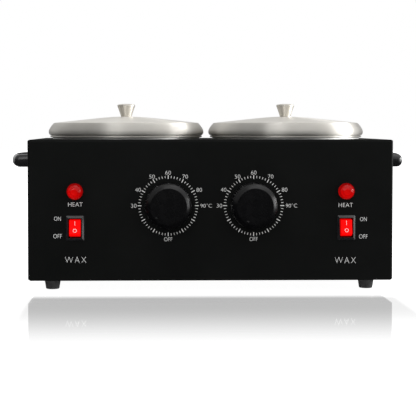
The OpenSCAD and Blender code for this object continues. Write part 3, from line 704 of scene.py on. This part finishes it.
PIN_FROM = 54.6
BLADE_HALF, BLADE_TIP, BLADE_ROUND, BLADE_THICK, BLADE_LIP = 3.175, 72.5, 1.6, 1.52, 0.18
BLADE_X, BLADE_Y = -4.2, 6.35
HOLE_R, HOLE_AT = 1.6, 68.0
PIN_R, PIN_TIP, PIN_X = 2.38, 73.9, 7.2


def blade(name, y):
    outline = fillet([(-BLADE_HALF, PIN_FROM), (BLADE_HALF, PIN_FROM), (BLADE_HALF, BLADE_TIP, BLADE_ROUND),
                      (-BLADE_HALF, BLADE_TIP, BLADE_ROUND)], n=5, closed=True)
    flat = frame_matrix((1, 0, 0), (0, 0, 1), (0, -1, 0), (BLADE_X * mm, (y + BLADE_THICK / 2) * mm, 0))
    return prism(name, outline, BLADE_THICK, plug_place @ flat, BLADE_LIP, circle(HOLE_R, 20, HOLE_AT))


blades = [blade("plug_blade_low", -BLADE_Y), blade("plug_blade_high", BLADE_Y)]
show(blades[0], "case", "brass_parts", "plug_blades")
show(blades[1], "case", "brass_parts")
pin_outline = [(0, PIN_FROM), (PIN_R, PIN_FROM), (PIN_R, 72.4)] + arc(0.9, 72.4, 1.48, 0, 90, 5)[1:]
pin = lathe("plug_pin", pin_outline + [(0, PIN_TIP)], plug_place @ shift(PIN_X, 0, 0), 32)
show(pin, "case", "brass_parts", "plug_earth_pin")

# ---- lids, lid knobs and pots ----

LID_H, CROWN, FLAT_R, SLOPE = 16.7, 1.2, 6.0, 0.112
CREASE_R, EDGE_R, EDGE_Z, SKIRT_BULGE, LID_WALL = 65.6, 70.6, 4.0, 0.5, 1.0
POT_R, POT_WALL, POT_RIM_R, BEAD = 58.0, 1.2, 69.2, 0.9
KNOB_FOOT_R, KNOB_FOOT_H, KNOB_FLARE, KNOB_TOP_H = 4.9, 0.5, 3.1, 2.1


def dome(r):
    """The lid's height at a radius: a shallow cone with a soft top."""
    return LID_H + CROWN - math.sqrt(CROWN ** 2 + (SLOPE * max(r - FLAT_R, 0.0)) ** 2)


def lid_outline():
    crease_z = dome(CREASE_R)
    fall = Vector((EDGE_R - CREASE_R, EDGE_Z - crease_z))
    side = Vector((-fall.y, fall.x)).normalized()

    def skirt(f, inset):
        bulge = 4 * SKIRT_BULGE * f * (1 - f)
        q = Vector((CREASE_R, crease_z)) + fall * f + side * (bulge - inset)
        return (q.x, q.y)

    across = [2.2, 3, 4, 5, 6, 7, 8, 10, 12, 15, 18, 22, 26, 30, 34, 38, 42, 46, 50, 54, 58, 61, 63.6, 64.5]
    outer = [(r, dome(r)) for r in across] + [(65.1, dome(65.1) - 0.03)]
    outer += [skirt(f, 0.0) for f in [0.03, 0.08, 0.18, 0.3, 0.42, 0.54, 0.66, 0.78, 0.9]]
    # The edge is rolled in under itself
    outer += [(70.58, 3.6), (70.6, 3.0), (70.54, 2.3), (70.4, 1.6), (70.12, 0.95), (69.7, 0.42), (69.15, 0.1),
              (68.5, 0.0)]
    outer += arc(68.2, 2.4, 2.4, -100, -190, 9)
    inner = [skirt(f, LID_WALL) for f in [0.88, 0.7, 0.5, 0.3, 0.14]]
    inner += [(r, dome(r) - LID_WALL) for r in [63.4, 60, 54, 48, 42, 36, 30, 24, 18, 12, 9, 7, 6, 5, 2.2]]
    return outer + inner


def knob_outline(h):
    """A lid knob: a cone that widens to a low crowned top."""
    cone = [(2.05, 0.0), (4.75, 0.0), (4.86, 0.12), (KNOB_FOOT_R, KNOB_FOOT_H)]
    cone_h = h - KNOB_FOOT_H - KNOB_TOP_H
    for f in [i / 12 for i in range(1, 13)]:
        cone.append((KNOB_FOOT_R + KNOB_FLARE * f ** 1.06, KNOB_FOOT_H + cone_h * f))
    top = [(8.08, 1.8), (8.1, 1.5), (8.06, 1.2), (7.9, 0.95), (7.6, 0.76), (6.9, 0.55), (5.6, 0.33),
           (4.0, 0.15), (2.2, 0.04), (0.0, 0.0)]
    return cone + [(r, h - down) for r, down in top]


def pot_outline(depth):
    """A plain pot with a flange and a rolled rim."""
    out_r, flange, roll_r = POT_R + POT_WALL, depth - 2 * BEAD, POT_RIM_R - BEAD
    outer = fillet([(0.0, 0.0), (out_r, 0.0, 3.6), (out_r, flange, 0.5), (roll_r, flange)], n=6)
    rim = arc(roll_r, flange + BEAD, BEAD, -90, 90, 10) + arc(roll_r, flange + BEAD, BEAD, 90, 170, 6)[1:]
    inner = fillet([(roll_r - BEAD, flange + POT_WALL), (POT_R, flange + POT_WALL, 1.6),
                    (POT_R, POT_WALL, 3.0), (0.0, POT_WALL)], n=6)
    return outer + rim + inner


def stand(node, axis):
    """Where a node's lowest point is on an upright axis, and the node's height."""
    lo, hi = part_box(node)
    return upright(axis.x, axis.y, lo.z), (hi.z - lo.z) / mm


for side in SIDES:
    axis = middle(f"{side}_lid")
    place, _ = stand(f"{side}_lid", axis)
    lid = lathe(f"{side}_lid_shell", lid_outline(), place, 192, closed=True, sharp=28)
    show(lid, f"{side}_lid", "spun_aluminium", f"{side}_lid")
    place, height = stand(f"{side}_lid_knob", axis)
    knob = lathe(f"{side}_lid_grip", knob_outline(height), place)
    show(knob, f"{side}_lid", "turned_aluminium", f"{side}_lid_knob")
    place, height = stand(f"{side}_pot", axis)
    pot = lathe(f"{side}_pot_shell", pot_outline(height), place, 160, sharp=40)
    show(pot, f"{side}_pot", "spun_aluminium", f"{side}_pot")

# ---- handles ----

BOW_RISE, BOW_HALF, BOW_REACH, BOW_THICK = 6.5, 50.0, 20.0, 6.5
BOW_CORNER, BOW_FOOT, BOW_HEIGHT, BOW_ROUND = 5.0, 14.0, 11.1, 4.9
ROUND_STEPS = 8


def bow(along):
    """How far out the bow's outer line is, at a place along it."""
    radius = (BOW_HALF ** 2 + BOW_RISE ** 2) / (2 * BOW_RISE)
    return BOW_REACH - radius + math.sqrt(radius ** 2 - along * along)


def handle_outline():
    """The plan of a bow handle: (out, along, rounding depth), anticlockwise."""
    straight = BOW_HALF - BOW_CORNER
    out = [(bow(v), v, 5.0) for v in [i * straight / 14 for i in range(-14, 15)]]
    centre_x = bow(straight) - BOW_CORNER
    corner = [(centre_x + x, straight + y, 4.6) for x, y in arc(0, 0, BOW_CORNER, 12, 84, 6)]
    far = corner + [(centre_x, BOW_HALF, 4.4), (2.5, BOW_HALF, 3.0), (0.0, BOW_HALF, 0.6)]
    inner_v = BOW_HALF - BOW_FOOT
    inside = [(bow(v) - BOW_THICK, v) for v in [inner_v * i / 12 for i in range(12, -13, -1)]]
    bend = fillet([(0.0, inner_v), (*inside[0], 4.0), inside[3]], n=5)[1:-1]
    hollow = [(0.0, inner_v, 0.6), (2.5, inner_v, 1.6)] + [(x, y, 2.4) for x, y in bend]
    span = [(x, y, 2.6) for x, y in inside[3:-3]]

    def mirrored(points):
        return [(x, -y, depth) for x, y, depth in reversed(points)]

    return out + far + hollow + span + mirrored(hollow) + mirrored(far)


def handle_mesh(name, place):
    points = handle_outline()
    moves = miters(points, 0.35)
    bm = bmesh.new()
    layers = []
    quarter = [90 * k / ROUND_STEPS for k in range(ROUND_STEPS + 1)]
    for end, angles in ((-1, [a - 90 for a in quarter]), (1, quarter)):
        for a in angles:
            z = end * (BOW_HEIGHT / 2 - BOW_ROUND) + BOW_ROUND * math.sin(rad(a))
            ring = []
            for (x, y, depth), m in zip(points, moves):
                move = m * depth * (1 - math.cos(rad(a)))
                ring.append((max(x + move.x, 0.0) if x > 0 else 0.0, y + move.y, z))
            layers.append(add_ring(bm, ring))
    skin(bm, layers)
    cap(bm, layers[0], layers[-1])
    return finish_mesh(name, bm, place, 50)


for side, sign in SIDES.items():
    at = middle(f"{side}_handle")
    handle = handle_mesh(f"{side}_bow_handle", upright(sign * half_w, at.y, at.z))
    if sign < 0:
        for v in handle.data.vertices:
            v.co.x = -v.co.x
        handle.data.flip_normals()
    show(handle, "case", "handle_plastic", f"{side}_handle")

# ---- feet ----

FOOT_IN = 6.7  # from the edge of the feet's box to a foot's axis
foot_outline = fillet([(1.65, 3.5), (3.6, 3.5, 0.3), (3.6, 0.0, 0.5), (5.6, 0.0, 0.7), (5.95, 1.9, 0.6),
                       (6.65, 6.3, 0.5), (7.0, 6.9, 0.4), (7.0, 8.6, 0.4), (6.3, 9.0, 0.2), (1.65, 9.0)])
feet_lo, feet_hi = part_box("feet")
front_foot, rear_foot = feet_lo.y + FOOT_IN * mm, feet_hi.y - FOOT_IN * mm
out_foot = feet_hi.x - FOOT_IN * mm
feet = []
for x, y in ((-out_foot, front_foot), (out_foot, front_foot), (-out_foot, rear_foot), (out_foot, rear_foot)):
    foot = lathe(f"foot_{len(feet) + 1}", foot_outline, upright(x, y, 0.0), 64, closed=True)
    feet.append(show(foot, "case", "foot_rubber"))
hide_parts("feet")

# ---- dials ----

POINTERS = {"left": 227.0, "right": 206.0}  # where each dial's dot is, clockwise from the top
DOT_AT, FACE_H = 14.0, 16.95
dial_outline = fillet([(3.03, 6.0), (5.0, 6.0, 0.2), (5.0, 15.0, 0.4), (14.0, 15.0, 0.6), (16.4, 12.4, 1.0),
                       (17.8, 0.8, 0.2), (19.8, 0.8, 0.3), (19.8, 2.6, 0.5), (19.45, 3.2, 0.3)])
# A nearly straight grip, then a shoulder that is a little rounded, then the face
dial_outline += fillet([(19.45, 3.2), (18.8, 13.9, 0.7), (17.2, 15.65, 3.0), (15.3, 17.0, 0.4), (0.0, 16.9)],
                       n=7)[1:]
dot_outline = [(0.0, -0.3), (0.95, -0.3), (0.95, 0.05), (0.8, 0.2), (0.5, 0.3), (0.0, 0.34)]

for side in SIDES:
    at = middle(f"{side}_dial_knob")
    place = on_front(at.x, at.z)
    dial = lathe(f"{side}_dial_cap", dial_outline, place, 160, sharp=60)
    show(dial, f"{side}_dial", "dial_plastic", f"{side}_dial_knob")
    a = rad(90 - POINTERS[side])
    dot_place = place @ shift(DOT_AT * math.cos(a), DOT_AT * math.sin(a), FACE_H)
    dot = lathe(f"{side}_dial_dot", dot_outline, dot_place, 24)
    show(dot, f"{side}_dial", "dial_plastic")

# ---- lamps ----

lens_outline = [
    (0.0, 0.0), (6.75, 0.0), (6.9, 0.15), (6.95, 0.6), (6.85, 1.7), (6.6, 2.8), (6.25, 3.9), (5.75, 4.9),
    (5.2, 5.6), (4.6, 6.15), (3.95, 6.5), (3.6, 6.6), (3.45, 6.72), (3.35, 6.95), (3.1, 7.15), (2.4, 7.34),
    (1.3, 7.46), (0.0, 7.5),
]
for side in SIDES:
    at = middle(f"{side}_lamp_lens")
    lens = lathe(f"{side}_lamp_cap", lens_outline, on_front(at.x, at.z), 64, sharp=50)
    show(lens, "case", "red_lens", f"{side}_lamp_lens")

# ---- switches ----

ROCKER_R, FACE_MID, FACE_RISE, FACE_END = 7.35, 4.3, 0.1333, 5.7
ROCKER_HALF_W, ROCKER_EDGE, EDGE_STEP, EDGE_DROP = 4.72, 0.35, 0.12, 0.14
FACE_HOLLOW = 0.10
PIVOT_IN, ROCKER_TILT, FACE_TILT = 2.0, 11, 7.6
MARK_THICK, MARK_SUNK = 0.06, 0.09
# Width, height, corner radius and height above the panel, from the outer edge over the top into the mouth
BEZEL = [
    (15.3, 20.8, 0.8, 0.0), (15.3, 20.8, 0.8, 0.3), (15.2, 20.7, 0.75, 0.42), (15.0, 20.5, 0.7, 0.56),
    (11.9, 17.1, 0.5, 1.86), (11.66, 16.8, 0.5, 1.96), (11.5, 16.64, 0.5, 1.98), (11.34, 16.46, 0.4, 1.9),
    (11.24, 16.36, 0.4, 1.7), (11.2, 16.3, 0.4, -1.2), (11.5, 16.6, 0.4, -1.2), (11.5, 16.6, 0.4, 0.0),
]


def face_out(u):
    """How far out a rocker's flat faces are, at a height above its pivot."""
    return FACE_MID + FACE_RISE * abs(u)


def rocker_profile():
    """Out and up from the pivot: two faces, each a little hollow, that meet in a shallow V."""
    end_out = face_out(FACE_END)
    end_angle = math.degrees(math.atan2(FACE_END, end_out))
    upper = arc(0, 0, ROCKER_R, 97, end_angle + 4, 8)
    upper += [(end_out - 0.1, FACE_END + 0.12), (end_out - 0.02, FACE_END - 0.2)]
    face = []
    for i in range(13):
        u = (FACE_END - 0.6) * (1 - 2 * i / 12)
        hollow = FACE_HOLLOW * math.sin(math.pi * min(1, abs(u) / FACE_END))
        face.append((face_out(u) - hollow, u))
    return upper + face + [(x, -y) for x, y in reversed(upper)]


def rocker_mesh(name, place):
    bm = bmesh.new()
    rows = []
    right = [(ROCKER_HALF_W - ROCKER_EDGE, 0.0), (ROCKER_HALF_W - EDGE_STEP, EDGE_DROP),
             (ROCKER_HALF_W, ROCKER_EDGE)]
    for x, inset in [(-x, inset) for x, inset in reversed(right)] + right:
        ring = []
        for out, u in rocker_profile():
            d = Vector((out, u)).normalized()
            ring.append((x, u - d.y * inset, out - d.x * inset))
        rows.append(add_ring(bm, ring))
    skin(bm, rows)
    cap(bm, rows[0], rows[-1])
    return finish_mesh(name, bm, place, 32)


def bezel_mesh(name, place):
    """A raised frame: upright at its outer edge, sloping in to its mouth, then down into it."""
    bm = bmesh.new()
    rings = [add_ring(bm, [(x, y, z) for x, y in rounded_rect(w, h, r)]) for w, h, r, z in BEZEL]
    skin(bm, rings, closed=True)
    return finish_mesh(name, bm, place, 32)


for side in SIDES:
    place = on_front(middle(f"{side}_lamp_lens").x, middle(f"{side}_switch_housing").z)
    bezel = bezel_mesh(f"{side}_switch_bezel", place)
    show(bezel, "case", "switch_black")
    rocker_at = place @ shift(0, 0, -PIVOT_IN) @ turn("X", -ROCKER_TILT)
    rocker = rocker_mesh(f"{side}_rocker_cap", rocker_at)
    show(rocker, f"{side}_rocker", "rocker_red", f"{side}_rocker")
    # A bar on the upper face and a ring on the lower one
    for kind, u, tilt, outline, hole in (
            ("on", 3.3, FACE_TILT, rounded_rect(0.3, 4.0, 0.12), None),
            ("off", -2.95, -FACE_TILT, circle(1.6, 40), circle(1.24, 40))):
        on_face = rocker_at @ shift(0, u, face_out(u) - MARK_SUNK) @ turn("X", tilt)
        mark = prism(f"{side}_rocker_mark_{kind}", outline, MARK_THICK, on_face, hole=hole)
        show(mark, f"{side}_rocker", "panel_print")

# ---- print on the front panel ----

PRINT_H = 0.05
TEXT_THIN = 0.018  # how much the strokes are drawn in, for capitals of height 1
TICKS, LONG_EVERY = 60, 5
LONG_TICK, SHORT_TICK = (22.5, 25.7, 0.62), (23.3, 25.2, 0.42)  # from and to a radius, and how wide
FIGURE_H = 3.25
# Words, clockwise angle from the top, radius, how far right of there, and width
FIGURES = [
    ("30", 270, 28.9, 0, 4.6), ("40", 297.9, 28.7, 0, 4.6), ("50", 331, 28.0, 0, 4.6),
    ("60", 0, 27.8, 0, 4.6), ("70", 30.2, 28.4, 0, 4.6), ("80", 62.9, 29.3, 0, 4.6),
    ("90\u00b0C", 90, 29.0, 3.0, 9.6), ("OFF", 180, 28.25, 0, 6.85),
]
# Words, distance from the middle, height on the panel, height, width, letter spacing and thinning
LEGENDS = [
    ("HEAT", 113.9, 73.1, 3.4, 12.1, 1.0, TEXT_THIN), ("ON", 128.9, 61.1, 3.4, 5.6, 1.0, TEXT_THIN),
    ("OFF", 128.9, 46.4, 3.45, 7.2, 1.0, TEXT_THIN), ("WAX", 113.8, 26.4, 5.1, 17.7, 1.25, 0.028),
]
LEGEND_DROP = {"left": -0.35, "right": 0.5}  # the right-hand legends are printed a little lower


def add_bar(bm, x, y, length, width, angle):
    """A printed bar whose long side lies along an angle, in the print's own XY plane."""
    d = Vector((math.cos(angle), math.sin(angle))) * length / 2
    n = Vector((-math.sin(angle), math.cos(angle))) * width / 2
    corners = [Vector((x, y)) + d * sx + n * sy for sx, sy in ((-1, -1), (1, -1), (1, 1), (-1, 1))]
    rings = [add_ring(bm, [(p.x, p.y, z) for p in corners]) for z in (0.0, PRINT_H)]
    skin(bm, rings)
    cap(bm, *rings)


def text_mesh(words, height, width, spacing, thin):
    """Flat text of the given height and width, centred on its own origin."""
    curve = bpy.data.curves.new("text", "FONT")
    curve.body = words
    curve.space_character = spacing
    curve.resolution_u = 6
    curve.offset = -thin
    temp = link(bpy.data.objects.new("text", curve))
    bpy.context.view_layer.update()
    mesh = bpy.data.meshes.new_from_object(temp.evaluated_get(bpy.context.evaluated_depsgraph_get()))
    bpy.data.objects.remove(temp)
    xs = [v.co.x for v in mesh.vertices]
    ys = [v.co.y for v in mesh.vertices]
    scale_x = width * mm / (max(xs) - min(xs))
    scale_y = height * mm / (max(ys) - min(ys))
    cx, cy = (max(xs) + min(xs)) / 2, (max(ys) + min(ys)) / 2
    for v in mesh.vertices:
        v.co = ((v.co.x - cx) * scale_x, (v.co.y - cy) * scale_y, 0.0)
    return mesh


def add_text(bm, words, x, y, height, width, spacing=1.0, thin=TEXT_THIN):
    """Raised text, centred at x and y in the print's own XY plane."""
    flat = text_mesh(words, height, width, spacing, thin)
    part = bmesh.new()
    part.from_mesh(flat)
    bmesh.ops.remove_doubles(part, verts=part.verts, dist=1e-7)
    made = bmesh.ops.extrude_face_region(part, geom=list(part.faces))
    for v in made["geom"]:
        if isinstance(v, bmesh.types.BMVert):
            v.co.z = PRINT_H * mm
    bmesh.ops.translate(part, verts=part.verts, vec=(x * mm, y * mm, 0))
    solid = bpy.data.meshes.new("text")
    part.to_mesh(solid)
    part.free()
    bm.from_mesh(solid)
    bpy.data.meshes.remove(solid)
    bpy.data.meshes.remove(flat)


for side, sign in SIDES.items():
    at = middle(f"{side}_dial_knob")
    bm = bmesh.new()
    for k in range(TICKS):
        a = rad(90 - 360 / TICKS * k)
        inner, outer, width = SHORT_TICK if k % LONG_EVERY else LONG_TICK
        mid = (inner + outer) / 2
        add_bar(bm, mid * math.cos(a), mid * math.sin(a), outer - inner, width, a)
    for words, angle, r, right, width in FIGURES:
        a = rad(90 - angle)
        add_text(bm, words, r * math.cos(a) + right, r * math.sin(a), FIGURE_H, width)
    scale = finish_mesh(f"{side}_dial_scale", bm, on_front(at.x, at.z), 30)
    show(scale, "case", "panel_print")
    bm = bmesh.new()
    for words, x, z, height, width, spacing, thin in LEGENDS:
        add_text(bm, words, sign * x, z - LEGEND_DROP[side], height, width, spacing, thin)
    legends = finish_mesh(f"{side}_legends", bm, on_front(0, 0), 30)
    show(legends, "case", "panel_print")

# ---- the CAD nodes that stay ----

slots = {part["node"]: part["material_slot"] for part in frame["record"]["subparts"]}
for name, node in frame["nodes"].items():
    if not node.hide_render:
        node.data.materials.clear()
        node.data.materials.append(finish_of(slots[name]))

# ---- floor, light and surroundings ----

FLOOR_SIZE, FLOOR_DROP = 6.0, 0.0002
# The floor's even glow, and its lower glow in the painted shade zone in front of the case
FLOOR_GLOW, SHADE_ZONE_GLOW = 0.98, 0.39
# Where the painted shade zone's edges start and end their fade: out from the middle, and forward from the
# case's front
SHADE_ZONE_HALF_W, SHADE_ZONE_NEAR, SHADE_ZONE_FAR = (0.144, 0.158), (0.045, 0.018), (0.295, 0.085)

look = Shader("studio_floor")
look.set(Base_Color=(0.22, 0.22, 0.22, 1.0), Specular_IOR_Level=0.5, Emission_Color=(1, 1, 1, 1))
across, along, _ = look.split(look.place)
# Painted shade: the floor glows less in a zone in front of the case, so the case's mirror image on the floor
# shows darker there, and the zone fades out to plain white
shade_zone_x = look.soft(look.math("ABSOLUTE", across), *SHADE_ZONE_HALF_W, 1.0, 0.0)
shade_zone_near = look.soft(along, *(front_y - reach for reach in SHADE_ZONE_NEAR), 1.0, 0.0)
shade_zone_far = look.soft(along, *(front_y - reach for reach in SHADE_ZONE_FAR), 0.0, 1.0)
painted_shade_zone = look.times(shade_zone_near, shade_zone_far, shade_zone_x)
look.drive("Emission Strength", look.range(painted_shade_zone, 0.0, 1.0, FLOOR_GLOW, SHADE_ZONE_GLOW))
look.drive("Roughness", look.range(look.noise(9.0, 2.0), 0.3, 0.7, 0.03, 0.045))
bm = bmesh.new()
bmesh.ops.create_grid(bm, x_segments=2, y_segments=2, size=FLOOR_SIZE)
floor = finish_mesh("studio_floor", bm, upright(0, 0, -FLOOR_DROP))
floor.data.materials.append(look.material)
floor.visible_glossy = False


def soft_light(name, at, aim, width, height, power):
    data = bpy.data.lights.new(name, "AREA")
    data.shape = "RECTANGLE"
    data.size, data.size_y = width, height
    data.energy = power
    lamp = link(bpy.data.objects.new(name, data))
    lamp.location = at
    lamp.rotation_euler = (Vector(aim) - Vector(at)).to_track_quat("-Z", "Y").to_euler()
    lamp.visible_camera = False


soft_light("key_right", (1.15, -0.22, 0.24), (0.0, 0.0, 0.07), 0.4, 0.5, 3.2)
soft_light("glint", (1.10, 0.13, 0.30), (-0.1, -0.07, 0.08), 0.3, 0.26, 5.0)
soft_light("top_soft", (0.15, -0.45, 1.35), (0.0, 0.0, 0.1), 1.1, 0.9, 2.2)
soft_light("front_fill", (-0.7, -1.9, 1.0), (0.0, 0.0, 0.08), 1.0, 1.0, 5.5)

# How bright the surroundings overhead are by bearing: 0 is the front, 90 the right and 180 behind
TONES = [(-180, 0.55), (-126, 1.0), (-104, 0.46), (-42, 0.42), (-24, 0.78), (40, 0.82), (54, 1.0), (126, 1.0),
         (142, 0.34), (180, 0.40)]
OVERHEAD = 1.3

world = bpy.data.worlds.new("studio")
scene.world = world
world.use_nodes = True
world.node_tree.nodes.clear()
sky = Nodes(world.node_tree)
dx, dy, dz = sky.split(sky.node("TexCoord").outputs["Generated"])
# Overhead: dim at the horizon, bright above it, and a little brighter at the top
bearing = sky.math("ARCTAN2", dx, sky.times(dy, -1.0))
turned = sky.plus(sky.math("DIVIDE", bearing, 2 * math.pi), 0.5)
tone = sky.ramp(turned, [(angle / 360 + 0.5, (level, level, level)) for angle, level in TONES])
rising = sky.plus(sky.soft(dz, 0.06, 0.3, 0.02, 1.0), sky.soft(dz, 0.5, 0.85, 0.0, 0.25))
above = sky.times(rising, OVERHEAD, tone)
# A bright wall on the right, strongest low down, and a dimmer one behind with a low band
right = sky.times(sky.soft(dx, 0.5, 0.9, 0.0, 2.0), sky.soft(dz, -0.25, -0.1, 0.0, 1.0),
                  sky.soft(dz, 0.2, 0.5, 1.0, 0.4))
band = sky.times(sky.soft(dz, 0.02, 0.08, 0.0, 0.45), sky.soft(dz, 0.19, 0.26, 1.0, 0.0))
behind = sky.times(sky.soft(dy, 0.3, 0.8, 0.0, 1.0), sky.plus(sky.soft(dz, -0.12, 0.0, 0.0, 0.55), band))
surroundings = sky.node("Background")
sky.wire(sky.math("MAXIMUM", sky.math("MAXIMUM", above, right), behind), surroundings.inputs["Strength"])
# The camera itself sees plain white
white = sky.node("Background")
white.inputs["Color"].default_value = (1, 1, 1, 1)
either = sky.node("MixShader")
for source, socket in zip((sky.node("LightPath").outputs["Is Camera Ray"], surroundings.outputs[0],
                           white.outputs[0]), either.inputs):
    sky.wire(source, socket)
sky.wire(either.outputs[0], sky.node("OutputWorld").inputs["Surface"])

scene.view_settings.view_transform = "Standard"
scene.view_settings.look = "None"
scene.view_settings.exposure = 0.0
scene.view_settings.gamma = 1.0

bpy.context.view_layer.update()
